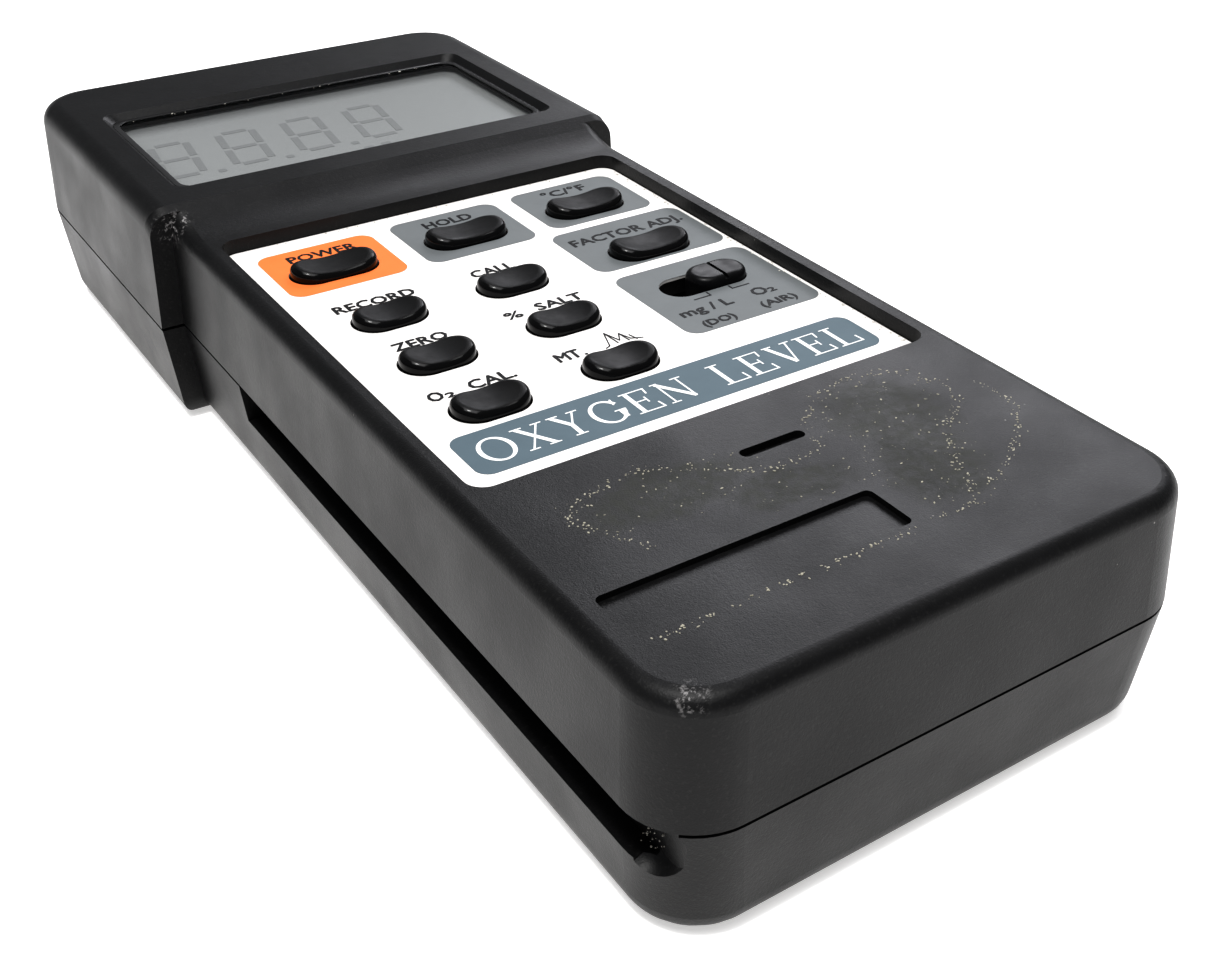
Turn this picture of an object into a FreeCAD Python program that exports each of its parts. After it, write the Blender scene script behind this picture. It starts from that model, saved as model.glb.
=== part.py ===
"""Handheld dissolved oxygen meter: two moulded shells with a display head, ten keys, a mode switch,
a circuit board, a 9 V battery behind a cover and a probe socket in the head's end wall.

Millimetres. X runs across the meter, Y along it towards the display head, Z out of the front face.
The origin is on the back face, in the middle of the outline.
"""

import FreeCAD, Part
import math
import os

V = FreeCAD.Vector

# Overall sizes
length = 180.0
head_width = 74.4
body_width = 68.2
head_rise = 2.6
seam = 15.2
head_length = 58.6
wall = 2.4

# Shell shape
upper_draft = 2.0
lower_draft = 6.0
plan_radius = 8.0
head_edge_radius = 3.0
body_edge_radius = 2.0
back_edge_radius = 3.4
head_notch_wall = 1.4
ramp_length = 4.0
ramp_over = 1.3
ramp_blend = 14.0
seam_groove_height = 0.4
seam_groove_depth = 0.8

# Side slots under the seam, for a holster's rails
slot_height = 5.8
slot_depth = 3.2
slot_wall = 1.4
slot_near_margin = 6.0
slot_length = 94.6
slot_end_radius = 4.2

# Label and its recess in the front face
recess_side_margin = 3.55
recess_length = 72.5
recess_to_ramp = 4.7
recess_radius = 2.4
recess_depth = 2.0
label_thickness = 0.4
label_clearance = 0.15
key_plate = 2.0

# Keys: centre lines, sizes and travel
key_depth = 6.1
wide_key = 11.7
narrow_key = 9.5
key_height = 2.1
key_dish = 1.1
key_rounding = 0.9
key_flange = 0.9
key_flange_thickness = 0.8
key_clearance = 0.25
key_rest_gap = 0.2
key_travel = 1.0
key_press_clearance = 0.2
first_row_margin = 12.0
second_row_gap = 16.8
row_pitch = 13.0
column_margin = 11.3
middle_column = -1.95
hold_column = 0.15

# Mode switch
switch_margin = 41.6
switch_slot_length = 12.9
switch_slot_depth = 5.8
knob_length = 8.5
knob_height = 1.4
knob_clearance = 0.2
knob_travel = 4.0
knob_groove = 0.5
stem_length = 2.2
stem_width = 1.2
stem_depth = 1.1
switch_body_length = 14.0
switch_body_depth = 6.4
switch_cap_room = 0.8

# Small features of the lower front face, measured from the near end
latch_slot_length = 8.4
latch_slot_width = 1.5
latch_slot_depth = 0.9
latch_slot_margin = 31.1
pocket_left = -30.0
pocket_right = 2.7
pocket_margin = 11.7
pocket_length = 7.0
pocket_depth = 0.7
pocket_corner = 0.8

# Display
window_side_margin = 7.8
window_length = 32.9
window_margin = 18.1
window_radius = 3.0
window_bevel = 1.0
window_lip = 1.1
window_ledge = 1.6
window_thickness = 1.2
window_clearance = 0.15
glass_thickness = 2.2
glass_gap = 0.3
glass_border = 0.6
frame_wall = 1.0
frame_ledge = 1.0
frame_clearance = 0.2
contact_width = 2.0
contact_inset = 1.4
contact_end_gap = 2.0

# Circuit board and key mat
board_thickness = 1.6
board_side_gap = 6.1
board_near_gap = 4.8
board_far_gap = 13.6
board_step_gap = 1.6
mat_thickness = 0.8
mat_margin = 0.8
dome_height = 1.2
dome_radius = 2.4

# Fasteners
case_screw_radius = 1.5
case_screw_head_radius = 2.8
case_screw_head_height = 2.0
case_screw_recess = 1.4
case_screw_bite = 8.0
case_screw_end_margin = 10.0
case_screw_near_side = 9.3
case_screw_far_side = 9.0
back_boss_radius = 4.0
front_boss_radius = 3.2
board_boss_radius = 2.6
board_screw_radius = 1.2
board_screw_length = 5.0
board_screw_head_radius = 2.2
board_screw_head_height = 1.4
board_screw_inset = 3.2
thread_clearance = 0.05
hole_clearance = 0.2
pilot_extra = 1.0
cross_width = 0.6
cross_reach = 0.7

# Battery, its bay and its cover
battery_width = 26.2
battery_length = 48.0
battery_thickness = 17.0
battery_edge_radius = 1.8
battery_margin = 7.0
battery_clearance = 0.4
terminal_height = 3.0
terminal_radius = 3.2
terminal_pitch = 12.7
snap_thickness = 4.6
snap_width = 24.0
snap_height = 11.5
bay_wall = 1.8
bay_room = 2.0
bay_side_room = 1.9
bay_wall_drop = 0.5
battery_board_gap = 0.5
cover_thickness = 1.8
cover_overlap = 1.6
cover_clearance = 0.3
cover_radius = 2.0
cover_rib = 1.2
cover_rib_height = 2.2
cover_rib_end_gap = 4.0
cover_grooves = 5
cover_groove_pitch = 2.4
cover_groove_width = 1.0
cover_groove_depth = 0.5
cover_groove_length = 16.0
cover_screw_radius = 1.2
cover_screw_length = 6.0
cover_screw_head_radius = 2.2
cover_screw_head_height = 1.0
cover_screw_boss_radius = 3.2
cover_screw_boss_top = 9.0
cover_tab = 6.4
cover_tab_width = 9.0
hold_down_rib = 1.6
hold_down_width = 20.0
hold_down_gap = 0.3
hold_down_shares = (0.2, 0.5)

# Sockets in the head's end wall: the probe's on the seam, the data jack under the board
socket_side_gap = 15.2
socket_barrel_radius = 7.0
socket_bore_radius = 6.2
socket_flange_radius = 8.2
socket_flange_thickness = 0.8
socket_length = 11.5
socket_recess = 0.5
socket_insert_radius = 4.9
socket_nut_radius = 8.8
socket_nut_thickness = 2.2
socket_pin_radius = 0.6
socket_pin_circle = 2.9
socket_pins = 5
socket_pin_step = 60.0
socket_pin_depth = 6.0
socket_back_wall = 1.5
socket_insert_clearance = 0.3
socket_insert_tail = 1.1
jack_side_gap = 14.2
jack_recess = 0.6
jack_bore_radius = 1.8
jack_bore_length = 11.0
jack_barrel_radius = 3.0
jack_body_width = 8.4
jack_body_length = 9.9
seat_gap = 0.1

# Chips on the underside of the board: x, y, width, length, height
processor = (0.0, 8.0, 12.0, 12.0, 1.6)
board_parts = (
    (0.0, 52.0, 15.0, 10.0, 1.8),
    (18.0, 60.0, 5.0, 6.0, 1.6),
    (18.0, 48.0, 5.0, 6.0, 1.6),
    (-17.0, 62.0, 4.0, 9.0, 3.4),
    (-18.0, 14.0, 6.5, 7.0, 4.2),
)
capacitor_places = ((14.0, 4.0), (-20.0, 48.0))
capacitor_radius = 2.5
capacitor_height = 6.0

# Levels and places worked out from the sizes above
front = length / 2
near = -length / 2
upper_lean = math.tan(math.radians(upper_draft))
lower_lean = seam * math.tan(math.radians(lower_draft))
head_near = front - head_length
ramp_foot = head_near - ramp_length
ramp_head = head_near + ramp_over
recess_far = ramp_foot - recess_to_ramp
recess_near = recess_far - recess_length
recess_width = body_width - 2 * recess_side_margin
first_row = recess_far - first_row_margin
second_row = first_row - second_row_gap
left_column = column_margin - recess_width / 2
right_column = recess_width / 2 - column_margin
switch_x = right_column
switch_y = recess_far - switch_margin
battery_bottom = cover_thickness + cover_clearance
battery_top = battery_bottom + battery_thickness
battery_middle = (battery_bottom + battery_top) / 2
board_bottom = battery_top + battery_board_gap
board_top = board_bottom + board_thickness
flange_bottom = board_top + mat_thickness + dome_height + key_press_clearance + key_travel
flange_top = flange_bottom + key_flange_thickness
ceiling = flange_top + key_rest_gap
panel_floor = ceiling + key_plate
label_floor = panel_floor + label_thickness
key_top = label_floor + key_height
body_top = label_floor + recess_depth
head_top = body_top + head_rise
board_near = recess_near + board_near_gap
board_far = front - board_far_gap
board_step = head_near + board_step_gap
switch_body_top = ceiling - switch_cap_room
latch_slot_y = near + latch_slot_margin
pocket_near = near + pocket_margin
pocket_far = pocket_near + pocket_length
slot_near_end = near + slot_near_margin
slot_far_end = slot_near_end + slot_length
window_width = head_width - 2 * window_side_margin
window_far = front - window_margin
window_near = window_far - window_length
window_middle = (window_near + window_far) / 2
window_top = head_top - window_lip
window_bottom = window_top - window_thickness
glass_top = window_bottom - glass_gap
glass_bottom = glass_top - glass_thickness
case_screw_near = (body_width / 2 - case_screw_near_side, near + case_screw_end_margin)
case_screw_far = (head_width / 2 - case_screw_far_side, front - case_screw_end_margin)
case_screw_length = seam - case_screw_recess - case_screw_head_height + case_screw_bite
board_body_half = body_width / 2 - board_side_gap
board_head_half = head_width / 2 - board_side_gap
board_screw_x = board_body_half - board_screw_inset
board_screw_places = ((board_screw_x, board_near + board_screw_inset), (board_screw_x, recess_far))
battery_near = near + battery_margin
battery_far = battery_near + battery_length
bay_near = battery_near - battery_clearance
bay_far = battery_far + terminal_height + bay_room + battery_clearance
bay_half = battery_width / 2 + bay_side_room
bay_wall_top = board_bottom - bay_wall_drop
cover_screw_y = bay_far + cover_overlap + cover_tab / 2
socket_x = case_screw_far[0] - socket_side_gap
socket_z = seam
jack_x = jack_side_gap - case_screw_far[0]
jack_z = board_bottom - seat_gap - jack_body_width / 2
socket_face = front - socket_recess
jack_face = front - jack_recess
end_wall_inner = front - wall - max((head_top - seam) * upper_lean, lower_lean)

KEYS = {
    "power_key": (left_column, first_row, wide_key),
    "hold_key": (hold_column, first_row, wide_key),
    "units_key": (right_column, first_row, wide_key),
    "factor_key": (right_column, second_row, wide_key),
    "record_key": (left_column, second_row, narrow_key),
    "recall_key": (middle_column, second_row, narrow_key),
    "zero_key": (left_column, second_row - row_pitch, narrow_key),
    "salt_key": (middle_column, second_row - row_pitch, narrow_key),
    "calibrate_key": (left_column, second_row - 2 * row_pitch, narrow_key),
    "altitude_key": (middle_column, second_row - 2 * row_pitch, narrow_key),
}


# Building blocks

def box(x0, x1, y0, y1, z0, z1):
    return Part.makeBox(x1 - x0, y1 - y0, z1 - z0, V(x0, y0, z0))


def cylinder(radius, height, x, y, z, axis=V(0, 0, 1)):
    return Part.makeCylinder(radius, height, V(x, y, z), axis)


def along_y(radius, y0, y1, x, z):
    return cylinder(radius, y1 - y0, x, y0, z, V(0, 1, 0))


def rounded(shape, radius, wanted):
    """Fillet the edges of a shape that the test picks."""
    return shape.makeFillet(radius, [e for e in shape.Edges if wanted(e)])


def upright(edge):
    """True for an edge between two levels of a block."""
    return abs(edge.Vertexes[-1].Point.z - edge.Vertexes[0].Point.z) > 0.01


def rounded_box(x0, x1, y0, y1, z0, z1, radius):
    return rounded(box(x0, x1, y0, y1, z0, z1), radius, upright)


def plan_prism(half_width, y0, y1, z0, z1, near_radius=0.0, far_radius=0.0):
    """An upright prism, even about X = 0, with round corners at its near or far end."""
    solid = box(-half_width, half_width, y0, y1, z0, z1)
    middle = (y0 + y1) / 2
    if near_radius:
        solid = rounded(solid, near_radius, lambda e: upright(e) and e.Vertexes[0].Point.y < middle)
    if far_radius:
        solid = rounded(solid, far_radius, lambda e: upright(e) and e.Vertexes[0].Point.y > middle)
    return solid


def obround(long, wide, x, y, z0, z1):
    """An upright prism with two half-round ends, its long side along X."""
    radius = wide / 2
    middle = box(x - long / 2 + radius, x + long / 2 - radius, y - radius, y + radius, z0, z1)
    ends = [cylinder(radius, z1 - z0, x + side * (long / 2 - radius), y, z0) for side in (-1, 1)]
    return middle.fuse(ends).removeSplitter()


def drafted_block(half_width, y0, y1, z0, z1, draft, draft_near=True, draft_far=True):
    """A block whose sides lean in from z0 to z1 by the draft angle, with flat faces."""
    lean = abs(z1 - z0) * math.tan(math.radians(draft))
    near_lean = lean if draft_near else 0
    far_lean = lean if draft_far else 0
    base = [V(-half_width, y0, z0), V(half_width, y0, z0), V(half_width, y1, z0), V(-half_width, y1, z0)]
    top = [
        V(-half_width + lean, y0 + near_lean, z1),
        V(half_width - lean, y0 + near_lean, z1),
        V(half_width - lean, y1 - far_lean, z1),
        V(-half_width + lean, y1 - far_lean, z1),
    ]
    sides = [[base[i - 1], base[i], top[i], top[i - 1]] for i in range(4)]
    loops = [base[::-1], top] + sides
    if z1 < z0:
        loops = [loop[::-1] for loop in loops]
    faces = [Part.Face(Part.makePolygon(loop + loop[:1])) for loop in loops]
    return Part.makeSolid(Part.makeShell(faces))


def side_profile(points, half_width):
    """A prism along X from a closed outline in Y and Z."""
    outline = [V(-half_width, y, z) for y, z in points]
    face = Part.Face(Part.makePolygon(outline + outline[:1]))
    return face.extrude(V(2 * half_width, 0, 0))


def at_height(z):
    return lambda edge: all(abs(v.Point.z - z) < 0.01 for v in edge.Vertexes)


def mirrored(points):
    return [(side * x, y) for x, y in points for side in (-1, 1)]


# Shells

def above_front():
    """Everything above the front face: level over the body, then up the ramp to the head's top."""
    outline = [
        (near - 5, body_top),
        (ramp_foot, body_top),
        (ramp_head, head_top),
        (ramp_head, head_top + 5),
        (near - 5, head_top + 5),
    ]
    return side_profile(outline, head_width)


def along_the_sides(edge):
    """An edge round the top of a block, but not one across the ramp."""
    points = [v.Point for v in edge.Vertexes]
    across = min(p.y for p in points) > ramp_foot - wall and max(p.y for p in points) < ramp_head + 0.01
    level = abs(points[0].y - points[-1].y) < 0.01
    return min(p.z for p in points) > body_top - 0.01 and not (across and level)


def at_ramp_foot(edge):
    return all(abs(v.Point.y - ramp_foot) < 0.01 and v.Point.z > body_top - 0.01 for v in edge.Vertexes)


def front_body():
    """The long lower part of the front shell, up to the top of the ramp."""
    block = drafted_block(body_width / 2, near, ramp_head, seam, head_top + 1, upper_draft, True, False)
    block = rounded(block, plan_radius, lambda e: upright(e) and e.Vertexes[0].Point.y < 0)
    block = rounded(block.cut(above_front()), ramp_blend, at_ramp_foot)
    return rounded(block, body_edge_radius, along_the_sides)


def front_head():
    """The wider head of the front shell."""
    block = drafted_block(head_width / 2, head_near, front, seam, head_top, upper_draft, False, True)
    block = rounded(block, plan_radius, lambda e: upright(e) and e.Vertexes[0].Point.y > window_middle)
    block = block.cut(above_front())
    return rounded(block, head_edge_radius, along_the_sides)


def front_cavity():
    """The hollow of the front shell: under the keys, over the battery and in the head."""
    lean = (head_top - seam) * upper_lean
    body_half = body_width / 2 - lean - wall
    head_half = head_width / 2 - lean - wall
    inner_near = near + lean + wall
    inner_radius = plan_radius - wall
    body = plan_prism(body_half, inner_near, head_near + wall, seam, ceiling, inner_radius)
    bay = plan_prism(body_half, inner_near, recess_near - wall, seam, body_top - wall, inner_radius)
    inner_head_near = head_near + head_notch_wall
    head = plan_prism(head_half, inner_head_near, end_wall_inner, seam, head_top - wall, 0, inner_radius)
    return body.fuse([bay, head])


def window_cut():
    """The display opening with a ledge below it for the window, and a bevelled rim."""
    half = window_width / 2
    opening = rounded_box(-half, half, window_near, window_far, window_bottom, head_top + 1, window_radius)
    reach = 2 * window_bevel
    rim = drafted_block(
        half + reach, window_near - reach, window_far + reach,
        head_top + window_bevel, head_top - window_bevel, 45.0,
    )
    rim = rounded(rim, window_radius, upright)
    outer = half + window_ledge
    ledge = rounded_box(
        -outer, outer, window_near - window_ledge, window_far + window_ledge,
        head_top - wall - 0.1, window_top, window_radius,
    )
    return [opening, rim, ledge]


def key_holes(clearance, z0, z1):
    """The holes for the keys and the mode switch."""
    holes = [obround(w + 2 * clearance, key_depth + 2 * clearance, x, y, z0, z1) for x, y, w in KEYS.values()]
    return holes + [obround(switch_slot_length, switch_slot_depth, switch_x, switch_y, z0, z1)]


def label_recess():
    half = recess_width / 2
    return rounded_box(-half, half, recess_near, recess_far, panel_floor, head_top, recess_radius)


def face_pocket():
    """A shallow, flat pocket with round corners."""
    z0, z1 = body_top - pocket_depth, body_top + 1
    return rounded_box(pocket_left, pocket_right, pocket_near, pocket_far, z0, z1, pocket_corner)


def socket_holes():
    """Through holes in the end wall for the probe socket and the data jack."""
    flange_seat = socket_face - socket_flange_thickness - seat_gap
    start, end = end_wall_inner - 1, front + 1
    return [
        along_y(socket_barrel_radius + hole_clearance, start, end, socket_x, socket_z),
        along_y(socket_flange_radius + hole_clearance, flange_seat, end, socket_x, socket_z),
        along_y(jack_barrel_radius + hole_clearance, start, end, jack_x, jack_z),
    ]


def front_bosses():
    """Screw posts and battery ribs that hang from the inside of the front shell."""
    near_x, near_y = case_screw_near
    far_x, far_y = case_screw_far
    bosses = [cylinder(front_boss_radius, body_top - wall - seam, s * near_x, near_y, seam) for s in (-1, 1)]
    bosses += [cylinder(front_boss_radius, head_top - wall - seam, s * far_x, far_y, seam) for s in (-1, 1)]
    for x, y in mirrored(board_screw_places):
        bosses.append(cylinder(board_boss_radius, ceiling - board_top, x, y, board_top))
    half = hold_down_width / 2
    for share in hold_down_shares:
        y = battery_near + share * battery_length
        bosses.append(box(-half, half, y, y + hold_down_rib, battery_top + hold_down_gap, body_top - wall))
    return bosses


def front_screw_holes():
    depth = case_screw_length - (seam - case_screw_recess - case_screw_head_height) + pilot_extra
    case = mirrored([case_screw_near, case_screw_far])
    holes = [cylinder(case_screw_radius + thread_clearance, depth, x, y, seam) for x, y in case]
    depth = board_screw_length - board_thickness + pilot_extra / 2
    radius = board_screw_radius + thread_clearance
    return holes + [cylinder(radius, depth, x, y, board_top) for x, y in mirrored(board_screw_places)]


def front_cover():
    shell = front_body().fuse(front_head()).removeSplitter()
    shell = shell.cut(front_cavity().removeSplitter())
    shell = shell.fuse(front_bosses()).removeSplitter()
    slot = obround(
        latch_slot_length, latch_slot_width, 0, latch_slot_y, body_top - latch_slot_depth, body_top + 1,
    )
    cuts = window_cut() + [label_recess(), face_pocket(), slot] + socket_holes() + front_screw_holes()
    return shell.cut(cuts + key_holes(key_clearance, ceiling - 1, head_top)).removeSplitter()


def back_outside():
    """The back shell's outer shape: body and head, both leaning in towards the back face."""
    body = drafted_block(body_width / 2, near, head_near + wall, seam, 0, lower_draft, True, False)
    body = rounded(body, plan_radius, lambda e: upright(e) and e.Vertexes[0].Point.y < 0)
    head = drafted_block(head_width / 2, head_near, front, seam, 0, lower_draft, False, True)
    head = rounded(head, plan_radius, lambda e: upright(e) and e.Vertexes[0].Point.y > window_middle)
    body = rounded(body, back_edge_radius, lambda e: at_height(0)(e) and not runs_across_end(e, head_near + wall))
    head = rounded(head, back_edge_radius, at_height(0))
    return body.fuse(head).removeSplitter().cut(seam_groove())


def runs_across_end(edge, y):
    return all(abs(v.Point.y - y) < 0.01 for v in edge.Vertexes)


def back_cavity():
    inner_near = near + lower_lean + wall
    inner_far = front - lower_lean - wall
    inner_radius = plan_radius - wall
    body = plan_prism(body_width / 2 - lower_lean - wall, inner_near, head_near + wall, wall, seam, inner_radius)
    head = plan_prism(
        head_width / 2 - lower_lean - wall, head_near + wall, inner_far, wall, seam, 0, inner_radius,
    )
    return body.fuse(head)


def side_slots():
    """The open slots along both sides just under the seam, each with a round near end."""
    cuts = []
    for side in (-1, 1):
        inner = side * (body_width / 2 - slot_depth)
        outer = side * (body_width / 2 + 1)
        x0, x1 = sorted((inner, outer))
        cuts.append(box(x0, x1, slot_near_end, slot_far_end, seam - slot_height, seam))
        centre = V(side * body_width / 2, slot_near_end - slot_end_radius / 3, seam - slot_height / 2)
        end = Part.makeSphere(slot_end_radius, centre)
        below = box(x0, x1, slot_near_end - 2 * slot_end_radius, slot_near_end + 1, 0, seam)
        cuts.append(end.common(below))
    return cuts


def slot_rails(outside):
    """Walls that close the side slots towards the inside."""
    rails = []
    for side in (-1, 1):
        x0, x1 = sorted((side * (body_width / 2 - slot_depth - slot_wall), side * body_width / 2))
        y0 = near + wall
        y1 = slot_far_end + slot_wall
        rails.append(box(x0, x1, y0, y1, seam - slot_height - slot_wall, seam).common(outside))
    return rails


def seam_groove():
    """A thin groove round the top of the back shell, which shows as the line between the shells."""
    z0, z1 = seam - seam_groove_height, seam + 1
    slab = box(-head_width, head_width, near - 1, front + 1, z0, z1)
    radius = plan_radius - seam_groove_depth
    depth = seam_groove_depth
    body = plan_prism(body_width / 2 - depth, near + depth, head_near + 2 * depth, z0, z1, radius)
    head = plan_prism(head_width / 2 - depth, head_near + depth, front - depth, z0, z1, 0, radius)
    return slab.cut(body.fuse(head))


def cover_outline(extra, z0, z1):
    """The battery cover's plate and screw tab, grown all round by a clearance."""
    half = bay_half + cover_overlap + extra
    y0, y1 = bay_near - cover_overlap - extra, bay_far + cover_overlap + extra
    plate = rounded_box(-half, half, y0, y1, z0, z1, cover_radius)
    tab_half = cover_tab_width / 2 + extra
    tab = rounded_box(-tab_half, tab_half, y1 - 2 * cover_radius, y1 + cover_tab, z0, z1, cover_radius)
    return plate.fuse(tab).removeSplitter()


def back_posts():
    """Battery bay walls and screw posts that stand on the floor of the back shell."""
    bay = box(
        -bay_half - bay_wall, bay_half + bay_wall, bay_near - bay_wall, bay_far + bay_wall,
        cover_thickness, bay_wall_top,
    )
    posts = [cylinder(back_boss_radius, seam, x, y, 0) for x, y in mirrored([case_screw_near, case_screw_far])]
    return [bay, cylinder(cover_screw_boss_radius, cover_screw_boss_top, 0, cover_screw_y, 0)] + posts


def back_screw_holes():
    holes = []
    for x, y in mirrored([case_screw_near, case_screw_far]):
        depth = case_screw_recess + case_screw_head_height
        holes.append(cylinder(case_screw_head_radius + hole_clearance, depth, x, y, 0))
        holes.append(cylinder(case_screw_radius + hole_clearance, seam, x, y, 0))
    pilot = cover_screw_radius + thread_clearance
    holes.append(cylinder(pilot, cover_screw_length + pilot_extra, 0, cover_screw_y, 0))
    return holes


def back_cover():
    outside = back_outside()
    shell = outside.cut(back_cavity().removeSplitter())
    posts = back_posts()
    shell = shell.fuse(posts + slot_rails(outside)).removeSplitter()
    inside_bay = box(-bay_half, bay_half, bay_near, bay_far, -1, bay_wall_top + 1)
    pocket = cover_outline(cover_clearance, -1, cover_thickness + seat_gap)
    cuts = [inside_bay, pocket] + side_slots() + socket_holes() + back_screw_holes()
    return shell.cut(cuts).removeSplitter()


# Label, keys and switch

def label_panel():
    half = recess_width / 2 - label_clearance
    y0, y1 = recess_near + label_clearance, recess_far - label_clearance
    radius = recess_radius - label_clearance
    panel = rounded_box(-half, half, y0, y1, panel_floor, label_floor, radius)
    return panel.cut(key_holes(key_clearance, panel_floor - 1, label_floor + 1))


def key(x, y, width):
    """A key with a dished top and a flange that stops under the front shell."""
    cap = obround(width, key_depth, x, y, flange_bottom, key_top)
    dish_radius = ((width / 2) ** 2 + key_dish ** 2) / (2 * key_dish)
    dish_start = V(x, y - key_depth, key_top - key_dish + dish_radius)
    cap = cap.cut(Part.makeCylinder(dish_radius, 2 * key_depth, dish_start, V(0, 1, 0)))
    above = label_floor + key_height / 2
    cap = rounded(cap, key_rounding, lambda e: min(v.Point.z for v in e.Vertexes) > above)
    grow = 2 * key_flange
    return cap.fuse(obround(width + grow, key_depth + grow, x, y, flange_bottom, flange_top)).removeSplitter()


def key_mat():
    """A rubber sheet on the board, with a dome under each key."""
    reach = wide_key / 2 + mat_margin
    x0, x1 = left_column - reach, right_column + reach
    rows = [y for _, y, _ in KEYS.values()]
    y0, y1 = min(rows) - key_depth / 2 - mat_margin, max(rows) + key_depth / 2 + mat_margin
    sheet = rounded_box(x0, x1, y0, y1, board_top, board_top + mat_thickness, mat_margin)
    half_x, half_y = switch_body_length / 2 + mat_margin, switch_body_depth / 2 + mat_margin
    gap = box(
        switch_x - half_x, switch_x + half_x, switch_y - half_y, switch_y + half_y,
        board_top - 1, board_top + 2 * mat_thickness,
    )
    domes = [cylinder(dome_radius, dome_height, x, y, board_top + mat_thickness) for x, y, _ in KEYS.values()]
    return sheet.cut(gap).fuse(domes).removeSplitter()


def mode_switch_body():
    """The slide switch on the board, open at the top for the knob's stem."""
    half_x, half_y = switch_body_length / 2, switch_body_depth / 2
    body = box(
        switch_x - half_x, switch_x + half_x, switch_y - half_y, switch_y + half_y,
        board_top, switch_body_top,
    )
    room_x = (stem_length + knob_travel) / 2 + knob_clearance
    room_y = stem_width / 2 + knob_clearance
    depth = stem_depth + knob_clearance
    return body.cut(box(
        switch_x - room_x, switch_x + room_x, switch_y - room_y, switch_y + room_y,
        switch_body_top - depth, switch_body_top + 1,
    ))


def mode_switch_knob():
    """The switch's knob, resting at the right end of its slot."""
    x = switch_x + knob_travel / 2
    foot = switch_body_top + knob_clearance
    top = label_floor + knob_height
    knob = obround(knob_length, switch_slot_depth - 2 * knob_clearance, x, switch_y, foot, top)
    knob = rounded(knob, key_rounding, at_height(top))
    groove = box(
        x - knob_groove / 2, x + knob_groove / 2, switch_y - switch_slot_depth,
        switch_y + switch_slot_depth, top - knob_groove, top + 1,
    )
    half_x, half_y = stem_length / 2, stem_width / 2
    stem = box(
        x - half_x, x + half_x, switch_y - half_y, switch_y + half_y,
        foot - stem_depth, foot,
    )
    return knob.cut(groove).fuse(stem).removeSplitter()


# Display

def display_window():
    half = window_width / 2 + window_ledge - window_clearance
    reach = window_ledge - window_clearance
    y0, y1 = window_near - reach, window_far + reach
    return rounded_box(-half, half, y0, y1, window_bottom, window_top, window_radius - window_clearance)


def display_glass():
    """The liquid crystal cell."""
    half = window_width / 2 + glass_border
    return box(-half, half, window_near - glass_border, window_far + glass_border, glass_bottom, glass_top)


def display_frame():
    """The frame that holds the display glass over the board, with a ledge along both sides."""
    inner = window_width / 2 + glass_border + frame_clearance
    y0, y1 = window_near - glass_border - frame_clearance, window_far + glass_border + frame_clearance
    outer = box(
        -inner - frame_wall, inner + frame_wall, y0 - frame_wall, y1 + frame_wall, board_top, glass_top,
    )
    lower = box(-inner + frame_ledge, inner - frame_ledge, y0, y1, board_top - 1, glass_top + 1)
    upper = box(-inner, inner, y0, y1, glass_bottom, glass_top + 1)
    return outer.cut([lower, upper])


def display_contacts():
    """Two rubber contact strips between the board and the display glass."""
    half = window_width / 2 - contact_end_gap
    near_y = window_near - glass_border + contact_inset
    far_y = window_far + glass_border - contact_inset - contact_width
    strips = [box(-half, half, y, y + contact_width, board_top, glass_bottom) for y in (near_y, far_y)]
    return Part.makeCompound(strips)


# Circuit board

def main_board():
    body = box(-board_body_half, board_body_half, board_near, board_step, board_bottom, board_top)
    head = box(-board_head_half, board_head_half, board_step, board_far, board_bottom, board_top)
    radius = board_screw_radius + hole_clearance
    places = mirrored(board_screw_places)
    holes = [cylinder(radius, 2 * board_thickness, x, y, board_bottom - 0.1) for x, y in places]
    return body.fuse(head).removeSplitter().cut(holes)


def chip(x, y, width, depth, height):
    return box(x - width / 2, x + width / 2, y - depth / 2, y + depth / 2, board_bottom - height, board_bottom)


def board_components():
    """Driver and amplifier chips, a crystal, a trimmer and two capacitors under the board."""
    capacitors = [
        cylinder(capacitor_radius, capacitor_height, x, y, board_bottom - capacitor_height)
        for x, y in capacitor_places
    ]
    return Part.makeCompound([chip(*sizes) for sizes in board_parts] + capacitors)


# Fasteners

def screw(radius, shank, head_radius, head_height, x, y, z):
    """A pan head screw with a cross recess, whose head starts at z, pointing up."""
    head = cylinder(head_radius, head_height, x, y, z)
    long, short = cross_reach * head_radius, cross_width / 2
    for half_x, half_y in ((long, short), (short, long)):
        head = head.cut(box(x - half_x, x + half_x, y - half_y, y + half_y, z, z + head_height / 2))
    return head.fuse(cylinder(radius, shank, x, y, z + head_height)).removeSplitter()


def case_screws():
    sizes = (case_screw_radius, case_screw_length, case_screw_head_radius, case_screw_head_height)
    places = mirrored([case_screw_near, case_screw_far])
    return Part.makeCompound([screw(*sizes, x, y, case_screw_recess) for x, y in places])


def board_screws():
    sizes = (board_screw_radius, board_screw_length, board_screw_head_radius, board_screw_head_height)
    z = board_bottom - board_screw_head_height
    return Part.makeCompound([screw(*sizes, x, y, z) for x, y in mirrored(board_screw_places)])


# Battery

def battery():
    half = battery_width / 2
    body = box(-half, half, battery_near, battery_far, battery_bottom, battery_top)
    body = rounded(body, battery_edge_radius, lambda e: abs(e.Length - battery_length) < 0.01)
    top = battery_far + terminal_height
    studs = [
        along_y(terminal_radius, battery_far, top, s * terminal_pitch / 2, battery_middle) for s in (-1, 1)
    ]
    return body.fuse(studs).removeSplitter()


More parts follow.
